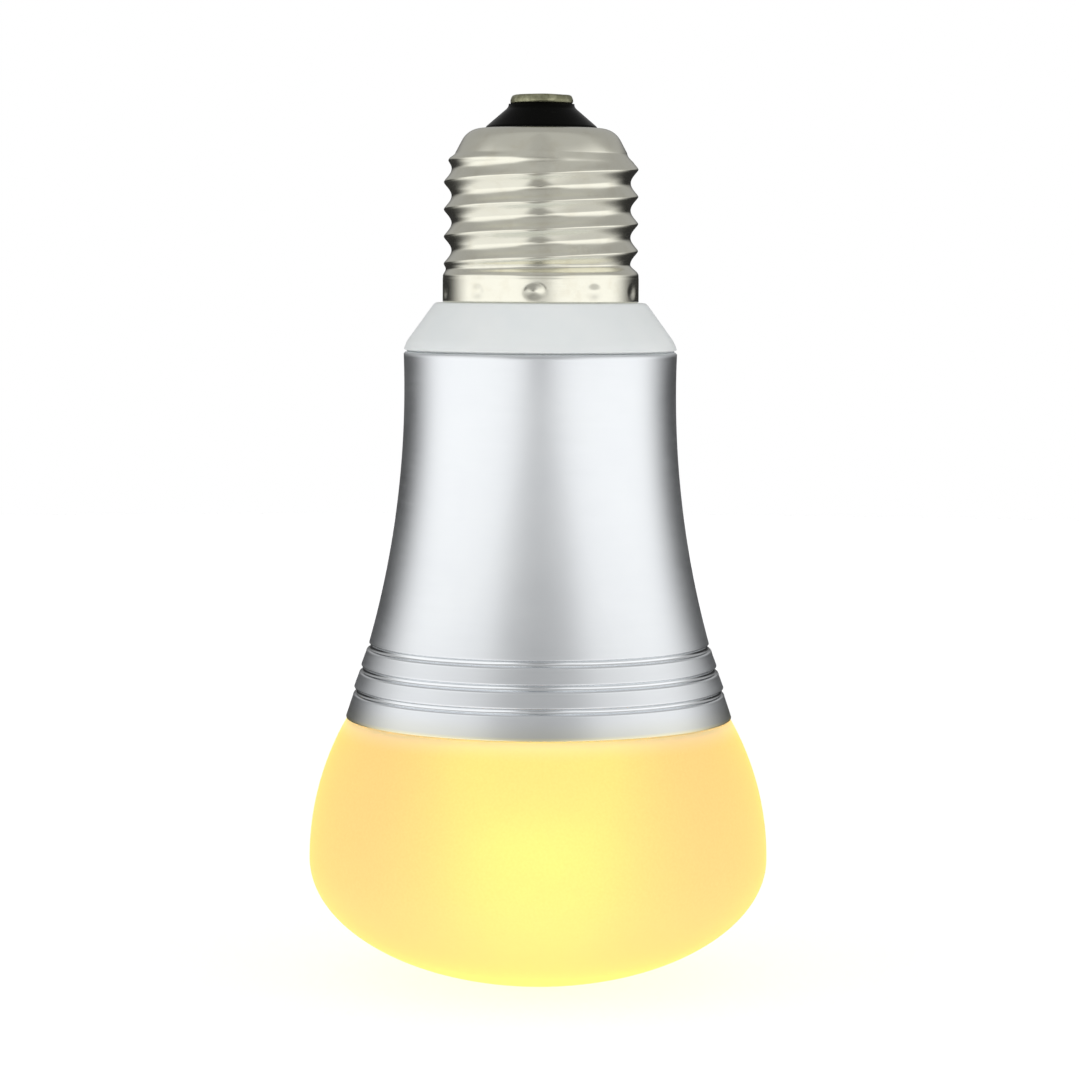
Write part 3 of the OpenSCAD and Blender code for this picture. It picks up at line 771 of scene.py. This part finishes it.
def studio_light():
    """Soft studio surroundings, drawn in the world's own directions.

    White side panels, a greyer gap in front of the lamp and dark behind it, under a grey ceiling.
    The camera itself sees plain white. Levels are brightnesses, with 1 for white, and were tuned
    on what the metal reflects.
    """
    world = bpy.data.worlds.new("studio")
    world.use_nodes = True
    bpy.context.scene.world = world
    tree = world.node_tree
    tree.nodes.clear()
    s = Shader("studio", tree)
    way = s.node("ShaderNodeTexCoord").outputs["Generated"]
    axes = s.node("ShaderNodeSeparateXYZ", {"Vector": way}).outputs
    across = s.math("POWER", axes[0], 2.0)
    along = s.math("POWER", axes[1], 2.0)
    flat = s.math("SQRT", s.math("ADD", across, along))
    to_back = s.math("DIVIDE", axes[1], s.math("MAXIMUM", flat, 0.001))
    # 0 in front of the lamp, a half at its sides, 1 behind it
    turn = s.math("MULTIPLY", s.math("ADD", to_back, 1.0), 0.5)
    # From -1 straight down, through 0 level with the lamp, to 1 straight up
    height = axes[2]
    gap_reach = (0.0, 0.45)

    # The gap between the front panels widens and darkens upwards, and has a darker core
    gap_edge = s.span(height, *gap_reach, 0.010, 0.060)
    past_gap = s.smooth(s.math("DIVIDE", turn, gap_edge), 0.4, 2.2)
    core_level = s.span(height, *gap_reach, 0.78, 0.28)
    off_dark_spot = s.smooth(s.away(height, -0.20), 0.10, 0.15)
    core_level = mixed(s, off_dark_spot, 0.15, core_level)
    gap_level = s.span(height, -0.1, 0.45, 0.92, 0.37)
    gap_level = mixed(s, s.smooth(turn, 0.001, 0.005), core_level, gap_level)

    # The white panels round the sides, and the dark behind, which pales upwards
    panel = mixed(s, past_gap, gap_level, s.span(height, 0.05, 0.45, 1.15, 1.0))
    back_from = s.span(height, *gap_reach, 0.50, 0.62)
    back = s.smooth(s.math("SUBTRACT", turn, back_from), 0.0, 0.38)
    low = mixed(s, back, panel, s.span(height, 0.06, 0.28, 0.03, 0.38))

    # The grey ceiling, which comes lower towards the back
    past_slim_gap = s.smooth(turn, 0.006, 0.040)
    above = mixed(s, s.smooth(turn, 0.4, 0.8), 0.50, 0.40)
    above = mixed(s, past_slim_gap, 0.44, above)
    raised = s.math("ADD", height, s.smooth(turn, 0.45, 0.80, 0.0, 0.3))
    level = mixed(s, s.smooth(raised, 0.34, 0.70), low, above)

    # The white sweep below: dimmer to the right, dark behind and grey straight down
    right = s.smooth(axes[0], 0.0, 0.6)
    below = mixed(s, right, 0.98, 0.66)
    below = mixed(s, past_slim_gap, 0.36, below)
    below = mixed(s, s.smooth(turn, 0.66, 0.92), below, 0.03)
    level = mixed(s, s.smooth(height, -0.2, -0.4), level, below)
    level = mixed(s, s.smooth(height, -0.955, -0.985), level, 0.3)

    shaped = s.node("ShaderNodeBackground", {"Color": level, "Strength": 1.0})
    plain = s.node("ShaderNodeBackground", {"Color": (1.0, 1.0, 1.0, 1.0), "Strength": 1.0})
    seen = s.node("ShaderNodeLightPath").outputs["Is Camera Ray"]
    chosen = s.node("ShaderNodeMixShader", {0: seen, 1: shaped.outputs[0], 2: plain.outputs[0]})
    s.node("ShaderNodeOutputWorld", {"Surface": chosen.outputs[0]})


def make_floor():
    """A plain white table just under the lamp, left out of glossy reflections."""
    mesh = bpy.data.meshes.new("table")
    radius = 900
    sides = 96
    corners = [
        (radius * math.cos(k * TURN / sides), radius * math.sin(k * TURN / sides), TABLE_Z)
        for k in range(sides)
    ]
    mesh.from_pydata([Vector(c) * MM for c in corners], [], [list(range(sides))])
    table = bpy.data.objects.new("table", mesh)
    bpy.context.scene.collection.objects.link(table)
    s = Shader("table_white")
    mottle = s.noise(30.0, detail=3)
    s.set(
        Base_Color=s.blend(mottle, (0.90, 0.90, 0.90), (0.92, 0.92, 0.92)),
        Roughness=0.9,
        Specular_IOR_Level=0.0,
    )
    mesh.materials.append(s.material)
    table.visible_glossy = False
    return table


def only_on(light, objects, name):
    """Limits a light to some objects."""
    group = bpy.data.collections.new(name)
    for o in objects:
        group.objects.link(o)
    light.light_linking.receiver_collection = group


def add_light(name, kind, energy, colour, place, **settings):
    data = bpy.data.lights.new(name, kind)
    data.energy = energy
    data.color = colour
    for key, value in settings.items():
        setattr(data, key, value)
    light = bpy.data.objects.new(name, data)
    light.location = Vector(place) * MM
    bpy.context.scene.collection.objects.link(light)
    return light


def make_lights(table, collar, diffuser):
    """Suns for the table and the collar, and the lamp's own light in the diffuser."""
    white = (1, 1, 1)
    overhead = (0, 0, 500)
    wash = add_light("table_wash", "SUN", 2.0, white, overhead, use_shadow=False)
    only_on(wash, [table], "lit_by_wash")
    top = add_light("top_light", "SUN", 0.95, white, overhead, angle=math.radians(60))
    only_on(top, [collar], "lit_by_top_light")
    warm = (1.0, 0.9, 0.05)
    heights_and_watts = ((-55, 0.047), (-65, 0.034), (-78, 0.046))
    for i, (z, watts) in enumerate(heights_and_watts):
        core = add_light(
            f"glow_{i}", "POINT", watts, warm, (0, 0, z),
            shadow_soft_size=14 * MM, use_shadow=False,
        )
        only_on(core, [diffuser], f"lit_by_glow_{i}")


def make_camera():
    """Level with the screw cap, tipped down a little, with a slight roll."""
    data = bpy.data.cameras.new("camera")
    data.sensor_width = 36
    data.lens = 114.04
    data.clip_start = 0.01
    camera = bpy.data.objects.new("camera", data)
    tipped_down = 4.475
    place = Vector((0, -460, 4.08)) * MM
    pitch = Matrix.Rotation(math.radians(90 - tipped_down), 4, "X")
    roll = Matrix.Rotation(math.radians(0.27), 4, "Z")
    camera.matrix_world = Matrix.Translation(place) @ pitch @ roll
    bpy.context.scene.collection.objects.link(camera)
    bpy.context.scene.camera = camera


# ---------- the scene ----------

make_camera()
finish = finishes()
dress_cad_nodes(finish)
make_contact(finish["contact_metal"])
make_insulator(finish["cap_black"])
make_screw_shell(finish["nickel_plate"])
collar = make_collar(finish["collar_white"])
make_housing(finish["satin_aluminium"])
dome = make_diffuser(finish["diffuser_milky"])
studio_light()
make_lights(make_floor(), collar, dome)
bpy.context.scene.view_settings.view_transform = "Standard"
